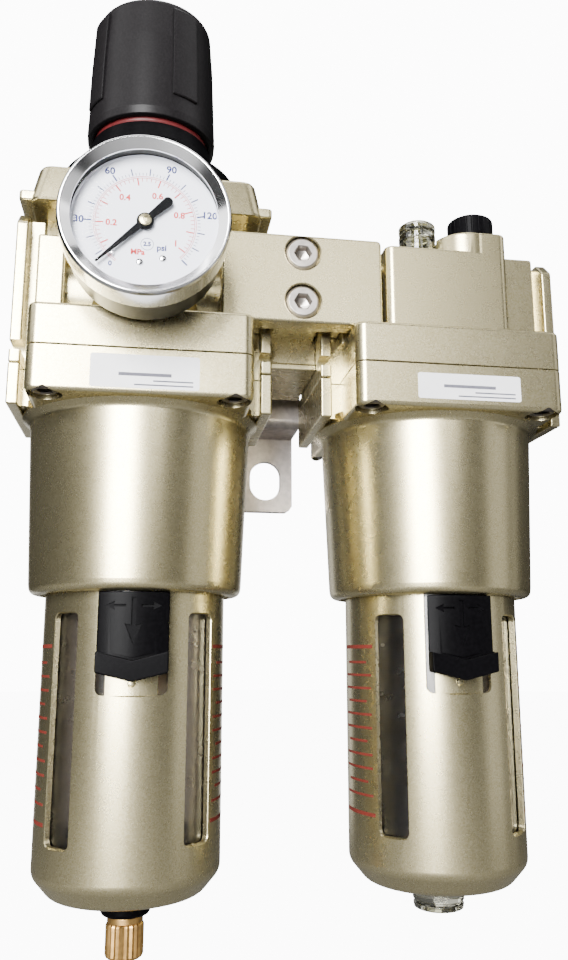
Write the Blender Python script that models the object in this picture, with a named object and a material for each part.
"""Two-unit compressed air set: a filter regulator and a lubricator on one wall bracket.

Lengths are written in millimetres and turned into metres when a mesh is finished.
The origin is on the flat back of the bracket's tab, where it lies against the wall.
+Z is up, the front faces -Y, air enters at -X and leaves at +X.
Outlines and profiles are written about a unit's own axis, with z = 0 at the flange foot.
"""
import math

import bmesh
import bpy

MM = 0.001

# How many sides stand for a round
LARGE = 24
MEDIUM = 16
SMALL = 10

# Overall layout
GAP = 0.3                # clearance between faces that touch
UNIT_WIDTH = 90.0        # one unit, outer port face to outer port face
SPACER_WIDTH = 17.6      # distance between the two units' facing ports
UNIT_X = UNIT_WIDTH / 2 + SPACER_WIDTH / 2
AXIS_Y = -63.0           # both units' vertical axes, in front of the wall
FOOT_Z = -9.5            # foot of the flange blocks, below the mounting point
PORT_Z = 48.0            # centre of the air ports above the flange foot

# Flange blocks shared by both units
BLOCK_HX = 36.6
BLOCK_HY = 44.4
BLOCK_CORNER = 3.6
SEAM_Z = 15.3            # joint between the upper casting and the lower housing
BLOCK_TOP = 29.5
FLANGE_HY = 24.0
FLANGE_CHAMFER = 5.0
REGULATOR_FLANGE_TOP = 72.0
LUBRICATOR_FLANGE_TOP = 66.5
FLANGE_T = 4.0
GROOVE_W = 3.5
GROOVE_HY = 17.0
NOTCH_Z = (19.9, 23.5)
PORT_R = 12.2
PORT_MOUTH_R = 13.6
PORT_TUBE_R = 17.0

# Collar and bowls
COLLAR_TOP_R = 39.4
COLLAR_LOW_R = 37.0
COLLAR_Z = -61.5
BORE_R = 31.6
BORE_TOP = -14.0
THROAT_R = 25.0
GUARD_R = 31.0
GUARD_WALL = 2.0
GUARD_TOP = -20.0
GUARD_STRAIGHT = -150.0
GUARD_LOW = -161.5
BOWL_R = 28.6
BOWL_WALL = 2.6
BOWL_TOP = -15.0
WINDOW_TOP = -68.2
WINDOW_LOW = -140.0
WINDOW_W = 11.0
LATCH_ANGLE = 19.3       # half angle of the button
CUTOUT_ANGLE = 21.5      # half angle of the opening behind it
CUTOUT_LOW = -94.0
LATCH_TOP = -61.9

# Regulator head
PORT_BLOCK_TOP = 63.0
WEB_HY = 8.0              # half depth of the web between the port blocks and the shoulder
SHOULDER_LOW = 75.0
SHOULDER_TOP = 89.5
DIAPHRAGM_R = 31.6
BONNET_R = 33.5
BONNET_LOW = 89.8
BONNET_BORE_R = 17.0
NECK_R = 20.6
STEM_R = 2.4              # stem of the valve poppet
NECK_TOP = 150.0
KNOB_LOW = 113.3
KNOB_TOP = 166.0
PAD_ANGLE = 24.5
PAD_FIRST = 30.0

# Gauge, distances measured forward from the unit's axis
GAUGE_BACK = 45.5
GAUGE_FRONT = 71.8
BEZEL_R = 26.1
CASE_R = 24.6
BOSS_FRONT = 38.0

# Lubricator head
BOX_X = (-24.5, 20.5)
BOX_FRONT = 40.0
BOX_TOP = 60.0
FILL_BOSS_TOP = 67.5
FILL_BOSS_R = 12.2
FILL_AT = (12.0, -27.0)
DOME_AT = (-9.1, -28.0)

# Clamp and bracket
CLAMP_HX = 28.1
CLAMP_Z = (29.8, 62.0)
CLAMP_FACE = 38.4
CLAMP_BACK = 30.4
CLAMP_SCREW_Z = (37.6, 55.4)
BRACKET_HX = 12.1
BRACKET_T = 3.0
TAB_FRONT = 60.0
TAB_LOW = -20.0
SHELF_LOW = 13.4
SLOT_Z = (-14.5, 2.8)
SLOT_HX = 6.7
CLAMP_SCREW_R = 3.0
CLAMP_HOLE_R = 3.3

SCREW_AT = [(sx * 30.5, sy * 38.7) for sx in (-1, 1) for sy in (-1, 1)]


# ---------------------------------------------------------------- materials

def material(name, colour, roughness, metallic, transmission=0.0):
    found = bpy.data.materials.get(name)
    if found:
        return found
    made = bpy.data.materials.new(name)
    made.use_nodes = True
    shader = made.node_tree.nodes["Principled BSDF"]
    shader.inputs["Base Color"].default_value = (*colour, 1.0)
    shader.inputs["Roughness"].default_value = roughness
    shader.inputs["Metallic"].default_value = metallic
    shader.inputs["Transmission Weight"].default_value = transmission
    return made


def paint():
    return material("champagne_paint", (0.55, 0.51, 0.40), 0.38, 0.55)


def black_plastic():
    return material("black_plastic", (0.022, 0.021, 0.024), 0.38, 0.0)


def red_plastic():
    return material("red_plastic", (0.30, 0.03, 0.03), 0.45, 0.0)


def brass():
    return material("brass", (0.50, 0.28, 0.08), 0.35, 0.9)


def chrome():
    return material("chrome", (0.80, 0.80, 0.80), 0.10, 1.0)


def steel():
    return material("zinc_steel", (0.58, 0.55, 0.52), 0.40, 0.9)


def spring_steel():
    return material("spring_steel", (0.45, 0.45, 0.46), 0.30, 1.0)


def clear_plastic():
    return material("clear_plastic", (0.90, 0.91, 0.86), 0.08, 0.0, 0.85)


def rubber():
    return material("rubber", (0.02, 0.02, 0.02), 0.70, 0.0)


def white_dial():
    return material("dial_white", (0.86, 0.87, 0.93), 0.50, 0.0)


def case_grey():
    return material("gauge_case", (0.34, 0.34, 0.33), 0.35, 0.6)


def porous():
    return material("filter_media", (0.82, 0.80, 0.72), 0.90, 0.0)


def nylon():
    return material("nylon", (0.70, 0.68, 0.60), 0.55, 0.0)


# ------------------------------------------------------------------ outlines

def circle(radius, centre=(0.0, 0.0), steps=MEDIUM, start=0.0):
    turn = 2 * math.pi / steps
    return [(centre[0] + radius * math.cos(start + i * turn),
             centre[1] + radius * math.sin(start + i * turn)) for i in range(steps)]


def rectangle(x0, x1, y0, y1):
    return [(x0, y0), (x1, y0), (x1, y1), (x0, y1)]


def rounded(x0, x1, y0, y1, radius, steps=2):
    points = []
    corners = [(x1 - radius, y0 + radius, -90), (x1 - radius, y1 - radius, 0),
               (x0 + radius, y1 - radius, 90), (x0 + radius, y0 + radius, 180)]
    for cx, cy, first in corners:
        for i in range(steps + 1):
            angle = math.radians(first + 90 * i / steps)
            points.append((cx + radius * math.cos(angle), cy + radius * math.sin(angle)))
    return points


def sector(r_in, r_out, half_angle, middle=-90.0, steps=6):
    """Part of a ring, seen from above; the middle angle -90 is the front."""
    angles = [math.radians(middle - half_angle + 2 * half_angle * i / steps)
              for i in range(steps + 1)]
    outer = [(r_out * math.cos(a), r_out * math.sin(a)) for a in angles]
    inner = [(r_in * math.cos(a), r_in * math.sin(a)) for a in reversed(angles)]
    return outer + inner


# -------------------------------------------------------------------- solids

def face_outwards(mesh):
    bmesh.ops.recalc_face_normals(mesh, faces=mesh.faces)
    if mesh.calc_volume(signed=True) < 0:
        bmesh.ops.reverse_faces(mesh, faces=mesh.faces)


def extruded(outline, low, high, axis="Z"):
    """A closed outline swept straight along an axis.

    For X the outline is (y, z); for Y it is (x, z); for Z it is (x, y).
    """
    mesh = bmesh.new()
    to_point = {
        "X": lambda a, b: (low, a, b),
        "Y": lambda a, b: (a, low, b),
        "Z": lambda a, b: (a, b, low),
    }[axis]
    corners = [mesh.verts.new(to_point(a, b)) for a, b in outline]
    face = mesh.faces.new(corners)
    swept = bmesh.ops.extrude_face_region(mesh, geom=[face])
    far_end = [item for item in swept["geom"] if isinstance(item, bmesh.types.BMVert)]
    reach = high - low
    offset = {"X": (reach, 0, 0), "Y": (0, reach, 0), "Z": (0, 0, reach)}[axis]
    bmesh.ops.translate(mesh, verts=far_end, vec=offset)
    face_outwards(mesh)
    return mesh


def lofted(sections):
    """Outlines of equal length at rising heights, joined side by side."""
    mesh = bmesh.new()
    rings = [[mesh.verts.new((x, y, z)) for x, y in outline] for outline, z in sections]
    mesh.faces.new(rings[0])
    mesh.faces.new(rings[-1])
    for lower, upper in zip(rings, rings[1:]):
        for i in range(len(lower)):
            j = (i + 1) % len(lower)
            mesh.faces.new((lower[i], lower[j], upper[j], upper[i]))
    face_outwards(mesh)
    return mesh


def turned(profile, steps=LARGE, axis="Z"):
    """A profile of (radius, height) spun about an axis.

    A profile that starts and ends at radius 0 closes on the axis; any other is a ring.
    For axis Y the height runs forward, towards -Y.
    """
    mesh = bmesh.new()
    points = [mesh.verts.new((r, 0.0, z)) for r, z in profile]
    pairs = list(zip(points, points[1:]))
    if profile[0][0] > 0:
        pairs.append((points[-1], points[0]))
    edges = [mesh.edges.new(pair) for pair in pairs]
    bmesh.ops.spin(mesh, geom=points + edges, cent=(0, 0, 0), axis=(0, 0, 1),
                   angle=2 * math.pi, steps=steps, use_merge=True)
    bmesh.ops.remove_doubles(mesh, verts=mesh.verts, dist=1e-4)
    if axis == "Y":
        for vert in mesh.verts:
            x, y, z = vert.co
            vert.co = (x, -z, y)
    if axis == "X":
        for vert in mesh.verts:
            x, y, z = vert.co
            vert.co = (z, x, y)
    face_outwards(mesh)
    return mesh


def coil(radius, wire, low, high, turns, per_turn=8, sides=4):
    """A helical spring: a round wire carried along a rising circle."""
    mesh = bmesh.new()
    count = int(turns * per_turn) + 1
    rings = []
    for i in range(count):
        angle = 2 * math.pi * i / per_turn
        height = low + (high - low) * i / (count - 1)
        out = (math.cos(angle), math.sin(angle))
        ring = []
        for k in range(sides):
            around = 2 * math.pi * k / sides
            r = radius + wire * math.cos(around)
            ring.append(mesh.verts.new((r * out[0], r * out[1], height + wire * math.sin(around))))
        rings.append(ring)
    mesh.faces.new(rings[0])
    mesh.faces.new(rings[-1])
    for first, second in zip(rings, rings[1:]):
        for k in range(sides):
            j = (k + 1) % sides
            mesh.faces.new((first[k], first[j], second[j], second[k]))
    face_outwards(mesh)
    return mesh


def moved(mesh, x=0.0, y=0.0, z=0.0):
    bmesh.ops.translate(mesh, verts=mesh.verts, vec=(x, y, z))
    return mesh


def together(*meshes):
    """Several separate solids in one mesh, for use as one cutting or joining tool."""
    result = meshes[0]
    for mesh in meshes[1:]:
        copy = bpy.data.meshes.new("tmp")
        mesh.to_mesh(copy)
        mesh.free()
        result.from_mesh(copy)
        bpy.data.meshes.remove(copy)
    return result


# ------------------------------------------------------------------- objects

def world(at):
    """A point (x, y, z) about the middle of the pair, in metres in the part's frame."""
    return (at[0] * MM, (at[1] + AXIS_Y) * MM, (at[2] + FOOT_Z) * MM)


def as_object(name, mesh, at):
    bmesh.ops.scale(mesh, vec=(MM, MM, MM), verts=mesh.verts)
    data = bpy.data.meshes.new(name)
    mesh.to_mesh(data)
    mesh.free()
    piece = bpy.data.objects.new(name, data)
    bpy.context.scene.collection.objects.link(piece)
    piece.location = world(at)
    return piece


def add_piece(name, mesh, at, surface, smooth=35.0):
    """One real piece, its origin at the given point, shaded smooth below the angle."""
    piece = as_object(name, mesh, at)
    piece.data.materials.append(surface)
    piece.data.shade_smooth()
    piece.data.set_sharp_from_angle(angle=math.radians(smooth))
    return piece


def apply_tool(piece, mesh, at, operation):
    tool = as_object(piece.name + "_tool", mesh, at)
    tool.hide_render = True
    tool.display_type = "WIRE"
    step = piece.modifiers.new(operation.title(), "BOOLEAN")
    step.operation = operation
    step.solver = "EXACT"
    step.object = tool


def fuse(piece, mesh, at):
    apply_tool(piece, mesh, at, "UNION")


def cut(piece, mesh, at):
    apply_tool(piece, mesh, at, "DIFFERENCE")


# ----------------------------------------------------- castings of both units

def flange_outline(top):
    """A port flange seen along X: a plate with its two upper corners cut off."""
    low = SEAM_Z + GAP / 2
    corner = top - FLANGE_CHAMFER
    narrow = FLANGE_HY - FLANGE_CHAMFER
    return [(-FLANGE_HY, low), (FLANGE_HY, low), (FLANGE_HY, corner), (narrow, top), (-narrow, top),
            (-FLANGE_HY, corner)]


def add_port_flanges(body, at, top):
    low = SEAM_Z + GAP / 2
    outer = UNIT_WIDTH / 2
    inner = outer - FLANGE_T
    core = inner - GROOVE_W
    for side in (-1, 1):
        plate = sorted((side * inner, side * outer))
        neck = sorted((side * (core - 1), side * (inner + 1)))
        fuse(body, extruded(flange_outline(top), *plate, axis="X"), at)
        fuse(body, extruded(rectangle(-GROOVE_HY, GROOVE_HY, low, top - 1.5), *neck, axis="X"), at)
        for front in (-1, 1):
            depth = sorted((front * (FLANGE_HY + 1), front * GROOVE_HY))
            width = sorted((side * (inner - 0.5), side * (outer + 1)))
            cut(body, extruded(rectangle(*width, *depth), *NOTCH_Z), at)


def port_tool(inner_end, side):
    """A port bore along X with a chamfered mouth, from the outer face inwards."""
    outer = UNIT_WIDTH / 2
    mouth = PORT_MOUTH_R - PORT_R
    profile = [(0, inner_end), (PORT_R, inner_end), (PORT_R, outer - mouth),
               (PORT_MOUTH_R, outer), (PORT_MOUTH_R, outer + 2), (0, outer + 2)]
    tool = turned(profile, steps=MEDIUM, axis="X")
    if side < 0:
        bmesh.ops.scale(tool, vec=(-1, 1, 1), verts=tool.verts)
        face_outwards(tool)
    return moved(tool, z=PORT_Z)


def screw_hole_tools(low, high, radius):
    holes = [moved(turned([(0, low), (radius, low), (radius, high), (0, high)], steps=10), x, y)
             for x, y in SCREW_AT]
    return together(*holes)


def build_housing(name, x):
    at = (x, 0, 0)
    top = SEAM_Z - GAP / 2
    block = rounded(-BLOCK_HX, BLOCK_HX, -BLOCK_HY, BLOCK_HY, BLOCK_CORNER)
    housing = add_piece(name, extruded(block, 0, top), at, paint())
    half = UNIT_WIDTH / 2
    inner = half - FLANGE_T
    for side in (-1, 1):
        plate = sorted((side * inner, side * half))
        fuse(housing, extruded(rectangle(*plate, -FLANGE_HY, FLANGE_HY), 0.8, top), at)
        neck = sorted((side * (BLOCK_HX - 1), side * (inner + 1)))
        fuse(housing, extruded(rectangle(*neck, -GROOVE_HY, GROOVE_HY), 2.0, top), at)
    collar = [(0, 2), (COLLAR_TOP_R, 2), (COLLAR_TOP_R, -0.5), (COLLAR_LOW_R, COLLAR_Z + 3.6),
              (COLLAR_LOW_R - 1.1, COLLAR_Z + 1.1), (COLLAR_LOW_R - 3.6, COLLAR_Z), (0, COLLAR_Z)]
    fuse(housing, turned(collar), at)
    bore = [(0, COLLAR_Z - 5), (BORE_R, COLLAR_Z - 5), (BORE_R, BORE_TOP), (THROAT_R, BORE_TOP),
            (THROAT_R, SEAM_Z + 5), (0, SEAM_Z + 5)]
    cut(housing, turned(bore), at)
    seat = [(0, -2), (5.7, -2), (5.7, 6.5), (3.4, 6.5), (3.4, SEAM_Z + 5), (0, SEAM_Z + 5)]
    cut(housing, together(*[moved(turned(seat, steps=SMALL), sx, sy) for sx, sy in SCREW_AT]), at)
    return housing


def socket_screw(head_r, head_h, shank_r, length, hex_r):
    """A socket screw pointing up, its head's lower face at z = 0."""
    profile = [(0, 0), (head_r, 0), (head_r, head_h), (shank_r, head_h), (shank_r, length), (0, length)]
    return turned(profile, steps=SMALL), circle(hex_r, steps=6), head_h * 0.55


def build_housing_screws(prefix, x):
    for index, (sx, sy) in enumerate(SCREW_AT, start=1):
        solid, key, depth = socket_screw(5.0, 5.3, 3.0, 21.0, 2.9)
        at = (x + sx, sy, 1.0)
        screw = add_piece(f"{prefix}_housing_screw_{index}", solid, at, steel())
        cut(screw, extruded(key, -1, depth), at)


def build_regulator_body(x):
    at = (x, 0, 0)
    low = SEAM_Z + GAP / 2
    block = rounded(-BLOCK_HX, BLOCK_HX, -BLOCK_HY, BLOCK_HY, BLOCK_CORNER)
    body = add_piece("regulator_body", extruded(block, low, BLOCK_TOP), at, paint())
    add_port_flanges(body, at, REGULATOR_FLANGE_TOP)
    edge = UNIT_WIDTH / 2 - FLANGE_T - GROOVE_W
    for side in (-1, 1):
        span = sorted((side * 28.0, side * edge))
        fuse(body, extruded(rectangle(-FLANGE_HY, FLANGE_HY, BLOCK_TOP - 1, PORT_BLOCK_TOP), *span,
                            axis="X"), at)
        lug = sorted((side * 36.0, side * UNIT_WIDTH / 2))
        fuse(body, extruded(rectangle(*lug, -FLANGE_HY, FLANGE_HY), SHOULDER_LOW + 0.6, 79.3), at)
    fuse(body, extruded(circle(PORT_TUBE_R, (0, PORT_Z), MEDIUM), -edge, edge, axis="X"), at)
    fuse(body, extruded(circle(24.5), low, SHOULDER_LOW + 4), at)
    fuse(body, extruded(rectangle(-edge, edge, -WEB_HY, WEB_HY), PORT_BLOCK_TOP - 1, SHOULDER_LOW + 2), at)
    shoulder = [(rounded(-41.5, 41.5, -26.0, 26.0, 4.5), SHOULDER_LOW),
                (rounded(-38.6, 38.6, -24.6, 24.6, 4.5), SHOULDER_TOP)]
    fuse(body, lofted(shoulder), at)
    fuse(body, extruded(circle(36.0, steps=LARGE, start=0.04), SHOULDER_LOW + 2, SHOULDER_TOP), at)
    fuse(body, extruded(circle(11.0, (0, PORT_Z), 16), -BOSS_FRONT, BOSS_FRONT, axis="Y"), at)
    chamber = [(0, low - 5), (24, low - 5), (24, 32.5), (8, 32.5), (8, PORT_Z), (0, PORT_Z)]
    cut(body, turned(chamber, steps=MEDIUM), at)
    cut(body, port_tool(12.0, -1), at)
    cut(body, port_tool(-4.0, 1), at)
    cut(body, moved(extruded(circle(8.0, steps=SMALL), 20, PORT_Z), -21.0), at)
    head = [(0, PORT_Z + 5), (2.8, PORT_Z + 5), (2.8, 79), (26, 79), (26, 86.4),
            (DIAPHRAGM_R + GAP, 86.4), (DIAPHRAGM_R + GAP, 95), (0, 95)]
    cut(body, turned(head), at)
    cut(body, moved(extruded(circle(1.5, steps=8), PORT_Z, 82), 14.0), at)
    cut(body, extruded(circle(6.3, (0, PORT_Z), SMALL), -50, 50, axis="Y"), at)
    cut(body, screw_hole_tools(low - 5, 24, 3.4), at)
    return body


def build_lubricator_body(x):
    at = (x, 0, 0)
    low = SEAM_Z + GAP / 2
    block = rounded(-BLOCK_HX, BLOCK_HX, -BLOCK_HY, BLOCK_HY, BLOCK_CORNER)
    body = add_piece("lubricator_body", extruded(block, low, BLOCK_TOP), at, paint())
    add_port_flanges(body, at, LUBRICATOR_FLANGE_TOP)
    foot = BLOCK_TOP - 1
    top = LUBRICATOR_FLANGE_TOP
    edge = UNIT_WIDTH / 2 - FLANGE_T - GROOVE_W
    fuse(body, extruded(rectangle(BOX_X[1] - 1, edge, -FLANGE_HY, FLANGE_HY), foot, top), at)
    fuse(body, extruded(rectangle(-edge, BOX_X[0] + 1, -FLANGE_HY, FLANGE_HY), foot, BOX_TOP), at)
    fuse(body, extruded(rounded(*BOX_X, -BOX_FRONT, 26.0, 3.0), low, BOX_TOP), at)
    boss_x = BOX_X[1] - FILL_BOSS_R
    boss = circle(FILL_BOSS_R, (boss_x, -BOX_FRONT + FILL_BOSS_R), MEDIUM, start=-math.pi / 2)
    fuse(body, extruded(boss, BOX_TOP - 4, FILL_BOSS_TOP), at)
    fuse(body, extruded(rounded(boss_x, BOX_X[1], -BOX_FRONT, -16, 3.0), BOX_TOP - 4, FILL_BOSS_TOP), at)
    cut(body, port_tool(-5.0, -1), at)
    cut(body, port_tool(-5.0, 1), at)
    chamber = [(0, low - 5), (31, low - 5), (31, 26), (3.4, 26), (3.4, PORT_Z), (0, PORT_Z)]
    cut(body, turned(chamber, steps=MEDIUM), at)
    cut(body, moved(extruded(circle(7.5, steps=16), 20, FILL_BOSS_TOP + 5), *FILL_AT), at)
    cut(body, moved(extruded(circle(5.6, steps=16), 50, BOX_TOP + 5), *DOME_AT), at)
    cut(body, moved(extruded(circle(7.1, steps=16), BOX_TOP, FILL_BOSS_TOP + 5), *DOME_AT), at)
    cut(body, extruded(circle(1.5, (DOME_AT[0], 53.0), 8), DOME_AT[1], 0, axis="Y"), at)
    cut(body, screw_hole_tools(low - 5, 24, 3.4), at)
    return body


# ------------------------------------------------------------ bowl assemblies

def radial_box(width, low, high, angle):
    """A box that crosses the bowl guard's wall at an angle from the front."""
    half = width / 2
    corner = 1.4
    outline = rounded(-half, half, low, high, corner, steps=1)
    tool = extruded(outline, -GUARD_R - 4, -GUARD_R + 8, axis="Y")
    turn = math.radians(angle)
    for vert in tool.verts:
        px, py, pz = vert.co
        vert.co = (px * math.cos(turn) - py * math.sin(turn), px * math.sin(turn) + py * math.cos(turn), pz)
    return tool


def build_guard(name, x, hole_r):
    at = (x, 0, 0)
    inner = GUARD_R - GUARD_WALL
    profile = [(GUARD_R, GUARD_TOP), (GUARD_R, GUARD_STRAIGHT), (GUARD_R - 1.2, GUARD_STRAIGHT - 3.4),
               (GUARD_R - 4.2, GUARD_STRAIGHT - 6.2), (GUARD_R - 8.5, GUARD_STRAIGHT - 8.2),
               (hole_r + 3, GUARD_LOW + 0.3), (hole_r, GUARD_LOW), (hole_r, GUARD_LOW + 2.0),
               (22.5, GUARD_STRAIGHT - 5.8), (26.5, GUARD_STRAIGHT - 3.6), (inner, GUARD_STRAIGHT + 1.0),
               (inner, GUARD_TOP)]
    guard = add_piece(name, turned(profile), at, paint())
    windows = [radial_box(WINDOW_W, WINDOW_LOW, WINDOW_TOP, a) for a in (-135, -45, 45, 135)]
    cut(guard, together(*windows), at)
    width = 2 * GUARD_R * math.sin(math.radians(CUTOUT_ANGLE))
    cut(guard, radial_box(width, CUTOUT_LOW, COLLAR_Z + 3, 0), at)
    tongue = sector(inner - 0.05, inner + 1.2, 15.8, steps=4)
    fuse(guard, extruded(tongue, CUTOUT_LOW - 1.0, CUTOUT_LOW + 6.5), at)
    return guard


def build_bowl(name, x, spigot_r):
    inner = BOWL_R - BOWL_WALL
    profile = [(inner, BOWL_TOP), (BOWL_R, BOWL_TOP), (BOWL_R, -148), (24.0, -153.4), (spigot_r, -157.4),
               (spigot_r, -160.3), (5.2, -160.3), (5.2, -155.0), (22.0, -150.8), (inner, -147)]
    return add_piece(name, turned(profile), (x, 0, 0), clear_plastic())


def build_bowl_seal(name, x):
    ring = circle(1.15, (30.1, -17.6), 5)
    return add_piece(name, turned(ring), (x, 0, 0), rubber(), smooth=60)


def build_latch(name, x):
    """The black button: a curved plate, a thicker wedge at its foot and a tongue behind."""
    at = (x, 0, 0)
    plate_in = GUARD_R + GAP
    plate_out = 34.2
    ledge = -80.3
    foot = -86.6
    dip = 2.8
    plate = sector(plate_in, plate_out, LATCH_ANGLE, steps=8)
    latch = add_piece(name, extruded(plate, foot - dip - 1, LATCH_TOP), at, black_plastic())
    half = plate_out * math.sin(math.radians(LATCH_ANGLE))
    wide = half + 2
    edge = foot + dip * (wide / half - 1)
    under = [(-wide, edge), (0, foot - dip), (wide, edge), (wide, foot - 12), (-wide, foot - 12)]
    cut(latch, extruded(under, -45, -25, axis="Y"), at)
    wedge = [(-half, ledge), (0, ledge - dip), (half, ledge), (half, foot - 0.3), (0, foot - dip - 0.3),
             (-half, foot - 0.3)]
    fuse(latch, extruded(wedge, -36.6, -31.9, axis="Y"), at)
    key = sector(29.2, plate_in + 1, LATCH_ANGLE - 0.6, steps=8)
    fuse(latch, extruded(key, -82.0, -63.5), at)
    return latch


def build_latch_spring(name, x):
    spring = coil(0.8, 0.22, -86.9, -82.5, 4, per_turn=6, sides=3)
    return add_piece(name, spring, (x, -30.2, 0), spring_steel(), smooth=60)


def build_drain_cock(x):
    """The brass cock under the filter bowl, fluted so that it can be turned by hand."""
    at = (x, 0, 0)
    profile = [(1.6, -151.6), (7.0, -151.6), (7.0, -153.8), (4.9, -154.4), (4.9, -165.3),
               (5.9, -165.3), (5.9, -167.2), (1.6, -167.2)]
    cock = add_piece("drain_cock", turned(profile, steps=MEDIUM), at, brass())
    flutes = 12
    outline = []
    for i in range(flutes * 2):
        angle = 2 * math.pi * i / (flutes * 2)
        radius = 6.3 if i % 2 else 5.9
        outline.append((radius * math.cos(angle), radius * math.sin(angle)))
    fuse(cock, extruded(outline, -178.3, -167.0), at)
    cut(cock, extruded(circle(1.6, steps=MEDIUM), -190, -166), at)
    return cock


def build_drain_nut(x):
    profile = [(5.2, -160.7), (8.2, -160.7), (8.2, -164.0), (7.6, -164.9), (5.2, -164.9)]
    return add_piece("drain_nut", turned(profile, steps=MEDIUM), (x, 0, 0), black_plastic())


def build_drain_plug(x):
    profile = [(0, -152.5), (7.0, -152.5), (7.0, -153.8), (4.9, -154.4), (4.9, -160.7), (8.9, -160.7),
               (8.9, -164.5), (8.3, -164.7), (8.3, -165.3), (8.8, -165.5), (8.5, -167.2), (7.6, -167.6),
               (0, -167.6)]
    return add_piece("drain_plug", turned(profile), (x, 0, 0), clear_plastic())


def build_bowl_set(prefix, x, fitting_r, spigot_r):
    build_guard(f"{prefix}_bowl_guard", x, fitting_r + GAP)
    build_bowl(f"{prefix}_bowl", x, spigot_r)
    build_bowl_seal(f"{prefix}_bowl_seal", x)
    build_latch(f"{prefix}_latch", x)
    build_latch_spring(f"{prefix}_latch_spring", x)


# ------------------------------------------------------------- regulator head

def build_bonnet(x):
    profile = [(BONNET_BORE_R, 89.1), (31.5, 89.1), (31.5, BONNET_LOW), (BONNET_R, BONNET_LOW),
               (BONNET_R, 94.6), (BONNET_R - 0.6, 95.2), (25.4, 95.8), (24.6, 97.0), (24.4, 104.9),
               (22.9, 111.2), (NECK_R, 111.6), (NECK_R, NECK_TOP), (4.2, NECK_TOP), (4.2, 146.3),
               (BONNET_BORE_R, 146.3)]
    return add_piece("bonnet", turned(profile), (x, 0, 0), black_plastic())


def build_red_ring(x):
    profile = [(NECK_R + GAP, 111.9), (21.6, 111.9), (21.9, 112.4), (21.9, 114.9), (21.6, 115.4),
               (NECK_R + GAP, 115.4)]
    return add_piece("red_ring", turned(profile), (x, 0, 0), red_plastic())


def build_knob(x):
    at = (x, 0, 0)
    profile = [(0, KNOB_TOP), (18.6, KNOB_TOP), (21.0, KNOB_TOP - 1.0), (22.2, KNOB_TOP - 3.5),
               (22.9, 157), (23.5, 148), (24.1, 132), (24.6, 121), (24.8, 116.3), (24.2, 114.1),
               (23.2, KNOB_LOW), (22.3, KNOB_LOW), (22.3, 146), (20.5, 158), (8, 158), (8, 151),
               (4.4, 151), (4.4, 160), (0, 160)]
    knob = add_piece("adjust_knob", turned(profile), at, black_plastic())
    pads = []
    for quarter in range(4):
        middle = -90 + PAD_FIRST + 90 * quarter
        low = sector(23.0, 25.3, PAD_ANGLE / 2, middle, steps=2)
        high = sector(21.8, 23.7, PAD_ANGLE / 2, middle, steps=2)
        pads.append(lofted([(low, 123.0), (high, 161.0)]))
    fuse(knob, together(*pads), at)
    return knob


def build_spindle(x):
    profile = [(0, 100), (3.8, 100), (3.8, 142.8), (9, 142.8), (9, 146), (3.8, 146), (3.8, 157), (0, 157)]
    return add_piece("adjust_spindle", turned(profile, steps=SMALL), (x, 0, 0), steel())


def build_spring_seat(x):
    profile = [(4.1, 126), (15.5, 126), (15.5, 129), (8, 132), (4.1, 132)]
    return add_piece("spring_seat", turned(profile, steps=16), (x, 0, 0), brass())


def build_main_spring(x):
    return add_piece("main_spring", coil(12.2, 1.5, 90.9, 124.1, 6), (x, 0, 0), spring_steel(), smooth=60)


def build_diaphragm(x):
    profile = [(24.1, 86.8), (DIAPHRAGM_R, 86.8), (DIAPHRAGM_R, 88.8), (24.1, 88.8)]
    return add_piece("diaphragm", turned(profile), (x, 0, 0), rubber())


def build_diaphragm_plate(x):
    profile = [(0, 84.1), (9, 84.1), (9, 86.8), (23.8, 86.8), (23.8, 88.8), (9.5, 88.8), (9.5, 92), (0, 92)]
    return add_piece("diaphragm_plate", turned(profile, steps=MEDIUM), (x, 0, 0), steel())


def build_poppet(x):
    profile = [(0, 13), (STEM_R, 13), (STEM_R, 28.6), (10.3, 28.6), (10.3, 32.2), (STEM_R, 32.2),
               (STEM_R, 83.8), (0, 83.8)]
    return add_piece("valve_poppet", turned(profile, steps=SMALL), (x, 0, 0), brass())


def build_poppet_spring(x):
    spring = coil(5.2, 0.6, 17.3, 27.7, 4)
    return add_piece("poppet_spring", spring, (x, 0, 0), spring_steel(), smooth=60)


def build_baffle(x):
    profile = [(0, -66), (21, -66), (22.5, -64.5), (22.5, -58.6), (4, -58.6), (4, 10), (9, 13.5), (9, 24),
               (7, 24), (7, 16.4), (2.8, 16.4), (2.8, 9.5), (0, 9.5)]
    return add_piece("baffle_stud", turned(profile, steps=MEDIUM), (x, 0, 0), nylon())


def build_filter_element(x):
    profile = [(10, -58.3), (17.5, -58.3), (17.5, 6.7), (10, 6.7)]
    return add_piece("filter_element", turned(profile, steps=MEDIUM), (x, 0, 0), porous())


def build_deflector(x):
    """The ring of vanes that sets the incoming air spinning above the element."""
    at = (x, 0, 0)
    vanes = 12
    outline = []
    for i in range(vanes * 3):
        angle = 2 * math.pi * i / (vanes * 3)
        radius = 21.0 if i % 3 == 0 else 24.6
        outline.append((radius * math.cos(angle), radius * math.sin(angle)))
    deflector = add_piece("deflector", extruded(outline, 7.0, 15.1), at, nylon())
    cut(deflector, extruded(circle(9.3), 0, 20), at)
    return deflector


# --------------------------------------------------------------------- gauge

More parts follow.
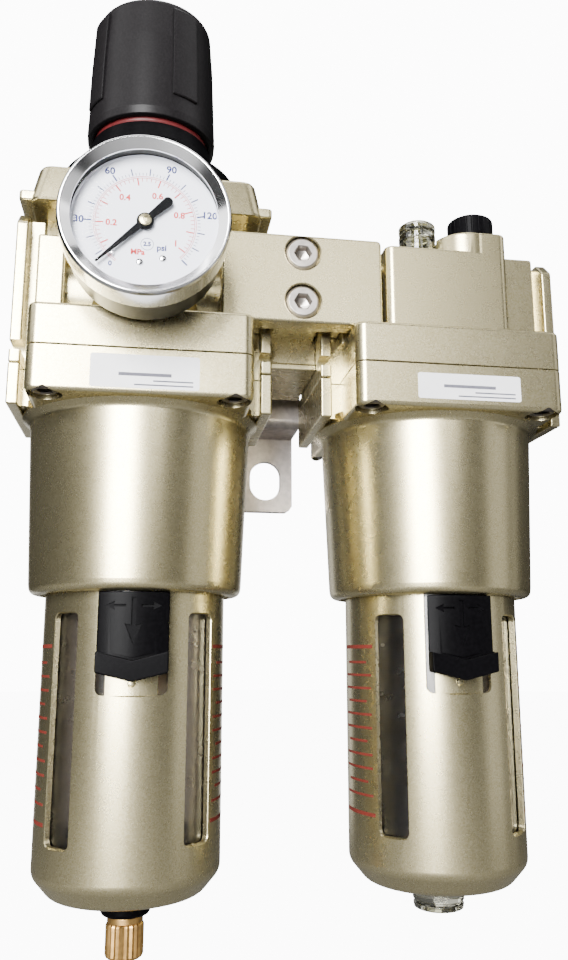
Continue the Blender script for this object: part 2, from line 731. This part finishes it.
def build_gauge(x):
    at = (x, 0, PORT_Z)
    case = [(0, 12.5), (5.9, 12.5), (5.9, 38.4), (8.2, 38.4), (8.2, 44.6), (23.4, GAUGE_BACK),
            (CASE_R, 47), (CASE_R, 60.7), (24.0, 60.7), (24.0, 68.1), (22.6, 68.1), (22.6, 48), (0, 48)]
    add_piece("gauge_case", turned(case, axis="Y"), at, case_grey())
    bezel = [(24.3, 61), (25.1, 61), (BEZEL_R, 61.8), (BEZEL_R, 70.6), (24.9, GAUGE_FRONT - 0.2),
             (24.0, GAUGE_FRONT), (22.9, 71.2), (22.9, 70.5), (24.3, 70.5)]
    add_piece("gauge_bezel", turned(bezel, axis="Y"), at, chrome())
    dial = [(1.2, 64.2), (22.3, 64.2), (22.3, 65), (1.2, 65)]
    add_piece("gauge_dial", turned(dial, axis="Y"), at, white_dial())
    lens = [(0, 68.4), (24.0, 68.4), (24.0, 70.2), (0, 70.2)]
    add_piece("gauge_lens", turned(lens, axis="Y"), at, clear_plastic())
    build_pointer(at)
    plug = [(0, 12.5), (5.9, 12.5), (5.9, 38.3), (7.6, 38.3), (7.6, 41.5), (3.2, 41.5), (3.2, 38), (0, 38)]
    rear = turned(plug, steps=SMALL, axis="Y")
    bmesh.ops.scale(rear, vec=(1, -1, 1), verts=rear.verts)
    face_outwards(rear)
    add_piece("gauge_port_plug", rear, at, steel())


def build_pointer(at):
    """A tapered needle and its fat tail on a short shaft, resting at zero."""
    rest = math.radians(225)
    tip = 20.0
    tail = 9.5
    outline = [(tip, -0.25), (tip, 0.25), (0, 0.8), (-3, 0.9), (-tail, 1.5), (-tail - 1.2, 0),
               (-tail, -1.5), (-3, -0.9), (0, -0.8)]
    turned_outline = [(a * math.cos(rest) - b * math.sin(rest), a * math.sin(rest) + b * math.cos(rest))
                      for a, b in outline]
    needle = extruded(turned_outline, -67.0, -66.2, axis="Y")
    pointer = add_piece("gauge_pointer", needle, at, black_plastic())
    hub = [(0, 62), (0.9, 62), (0.9, 65.4), (2.6, 65.4), (2.6, 67.4), (1.5, 67.9), (0, 67.9)]
    fuse(pointer, turned(hub, steps=SMALL, axis="Y"), at)


# ---------------------------------------------------------- lubricator fittings

def build_lubricator_fittings(x):
    dome_at = (x + DOME_AT[0], DOME_AT[1], 0)
    dome = [(3.9, 54.8), (5.3, 54.8), (5.3, 60.3), (6.7, 60.3), (6.7, 69.4), (6.1, 70.2), (1.5, 70.2),
            (1.5, 68.8), (4.9, 68.8), (5.2, 68), (5.2, 61.5), (3.9, 61.5)]
    add_piece("sight_dome", turned(dome, steps=16), dome_at, clear_plastic())
    needle = [(0, 57), (0.5, 57), (1.2, 59), (1.2, 70.5), (6.4, 70.5), (6.7, 71), (6.7, 73.0), (5.9, 74),
              (0, 74)]
    add_piece("feed_needle", turned(needle, steps=16), dome_at, clear_plastic())
    fill_at = (x + FILL_AT[0], FILL_AT[1], 0)
    low = FILL_BOSS_TOP + GAP
    plug = [(0, 56), (7.2, 56), (7.2, low), (8.4, low), (8.4, 76.6), (7.3, 77.9), (0, 77.9)]
    add_piece("fill_plug", turned(plug, steps=16), fill_at, black_plastic())
    tube = [(1.6, -140), (3.0, -140), (3.0, 33), (1.6, 33)]
    add_piece("siphon_tube", turned(tube, steps=10), (x, 0, 0), nylon())
    ring = [(8.0, -5), (11.9, -5), (11.9, 5), (8.0, 5), (6.2, 0)]
    add_piece("flow_damper", turned(ring, steps=MEDIUM, axis="X"), (x, 0, PORT_Z), nylon())


# ------------------------------------------------------------ clamp and bracket

def build_spacer():
    at = (0, 0, 0)
    half = SPACER_WIDTH / 2 - GAP
    spacer = add_piece("spacer", extruded(rectangle(-half, half, -30, 30), 33.2, 66.0), at, paint())
    foot = [(-14.6, 20.9), (24.4, 20.9), (24.4, 34.0), (-13.6, 34.0), (-13.6, 23.2), (-14.6, 23.2)]
    fuse(spacer, extruded(foot, -half, half, axis="X"), at)
    cut(spacer, extruded(circle(PORT_R, (0, PORT_Z), MEDIUM), -half - 1, half + 1, axis="X"), at)
    grooves = []
    for side in (-1, 1):
        ends = sorted((side * (half - 1.2), side * (half + 1)))
        ring = [(13.9, ends[0]), (16.9, ends[0]), (16.9, ends[1]), (13.9, ends[1])]
        grooves.append(moved(turned(ring, steps=MEDIUM, axis="X"), z=PORT_Z))
    cut(spacer, together(*grooves), at)
    for front in (-1, 1):
        for z in CLAMP_SCREW_Z:
            span = sorted((front * 16.2, front * 31))
            cut(spacer, extruded(circle(CLAMP_HOLE_R, (0, z), SMALL), *span, axis="Y"), at)
    for side, name in ((-1, "seal_inlet_side"), (1, "seal_outlet_side")):
        ring = circle(0.7, (15.4, side * (half - 0.45)), 5)
        add_piece(name, turned(ring, steps=MEDIUM, axis="X"), (0, 0, PORT_Z), rubber(), smooth=70)


def clamp_solid(name, front):
    """A clamp plate: a slab over both flanges with two ribs that hook behind them."""
    at = (0, 0, 0)
    depth = sorted((front * CLAMP_BACK, front * CLAMP_FACE))
    outline = rounded(-CLAMP_HX, CLAMP_HX, *CLAMP_Z, 1.2, steps=2)
    clamp = add_piece(name, extruded(outline, *depth, axis="Y"), at, paint())
    inner = SPACER_WIDTH / 2 + FLANGE_T + GAP
    outer = inner + GROOVE_W - 2 * GAP
    for side in (-1, 1):
        rib = sorted((side * inner, side * outer))
        reach = sorted((front * (GROOVE_HY + 1), front * (CLAMP_BACK + 1)))
        fuse(clamp, extruded(rectangle(*rib, *reach), CLAMP_Z[0] + 3, CLAMP_Z[1] - 3), at)
    for z in CLAMP_SCREW_Z:
        through = sorted((front * 20, front * 50))
        cut(clamp, extruded(circle(CLAMP_HOLE_R, (0, z), SMALL), *through, axis="Y"), at)
        if front < 0:
            cut(clamp, extruded(circle(6.3, (0, z), MEDIUM), -50, -CLAMP_FACE + 6.3, axis="Y"), at)
    return clamp


def clamp_screw(name, z, front, head_face):
    """A socket screw along Y, its head's face at the given distance from the axis plane."""
    solid, key, depth = socket_screw(5.9, 5.8, CLAMP_SCREW_R, abs(head_face) - 17.0, 2.6)
    socket = extruded(key, -1, depth)
    for mesh in (solid, socket):
        for vert in mesh.verts:
            px, py, pz = vert.co
            vert.co = (px, front * -pz, py)
        face_outwards(mesh)
    at = (0, front * abs(head_face), z)
    screw = add_piece(name, solid, at, steel())
    cut(screw, socket, at)


def build_bracket():
    """A strip bent twice: flat on the rear clamp, out to the wall, then down as a slotted tab."""
    at = (0, 0, 0)
    rise = CLAMP_FACE + GAP
    back = TAB_FRONT + BRACKET_T
    profile = [(rise, CLAMP_Z[1] - 2), (rise, SHELF_LOW), (TAB_FRONT, SHELF_LOW), (TAB_FRONT, TAB_LOW),
               (back, TAB_LOW), (back, SHELF_LOW + BRACKET_T), (rise + BRACKET_T, SHELF_LOW + BRACKET_T),
               (rise + BRACKET_T, CLAMP_Z[1] - 2)]
    bracket = add_piece("bracket", extruded(profile, -BRACKET_HX, BRACKET_HX, axis="X"), at, steel())
    slot = rounded(-SLOT_HX, SLOT_HX, *SLOT_Z, SLOT_HX - 0.3, steps=5)
    cut(bracket, extruded(slot, TAB_FRONT - 5, back + 5, axis="Y"), at)
    for z in CLAMP_SCREW_Z:
        hole = circle(CLAMP_HOLE_R, (0, z), SMALL)
        cut(bracket, extruded(hole, rise - 2, rise + BRACKET_T + 2, axis="Y"), at)


def build_clamp_set():
    build_spacer()
    clamp_solid("front_clamp", -1)
    clamp_solid("rear_clamp", 1)
    for index, z in enumerate(CLAMP_SCREW_Z, start=1):
        clamp_screw(f"front_clamp_screw_{index}", z, -1, CLAMP_FACE - 0.2)
        clamp_screw(f"rear_clamp_screw_{index}", z, 1, CLAMP_FACE + BRACKET_T + 2 * GAP + 5.8)
    build_bracket()


# --------------------------------------------------------------------- build

def main():
    for item in list(bpy.data.objects):
        bpy.data.objects.remove(item, do_unlink=True)
    for prefix, x in (("regulator", -UNIT_X), ("lubricator", UNIT_X)):
        build_housing(f"{prefix}_housing", x)
        build_housing_screws(prefix, x)
    build_regulator_body(-UNIT_X)
    build_lubricator_body(UNIT_X)
    build_bowl_set("regulator", -UNIT_X, 8.2, 7.8)
    build_bowl_set("lubricator", UNIT_X, 8.9, 8.4)
    build_drain_cock(-UNIT_X)
    build_drain_nut(-UNIT_X)
    build_drain_plug(UNIT_X)
    build_bonnet(-UNIT_X)
    build_red_ring(-UNIT_X)
    build_knob(-UNIT_X)
    build_spindle(-UNIT_X)
    build_spring_seat(-UNIT_X)
    build_main_spring(-UNIT_X)
    build_diaphragm(-UNIT_X)
    build_diaphragm_plate(-UNIT_X)
    build_poppet(-UNIT_X)
    build_poppet_spring(-UNIT_X)
    build_baffle(-UNIT_X)
    build_filter_element(-UNIT_X)
    build_deflector(-UNIT_X)
    build_gauge(-UNIT_X)
    build_lubricator_fittings(UNIT_X)
    build_clamp_set()


main()
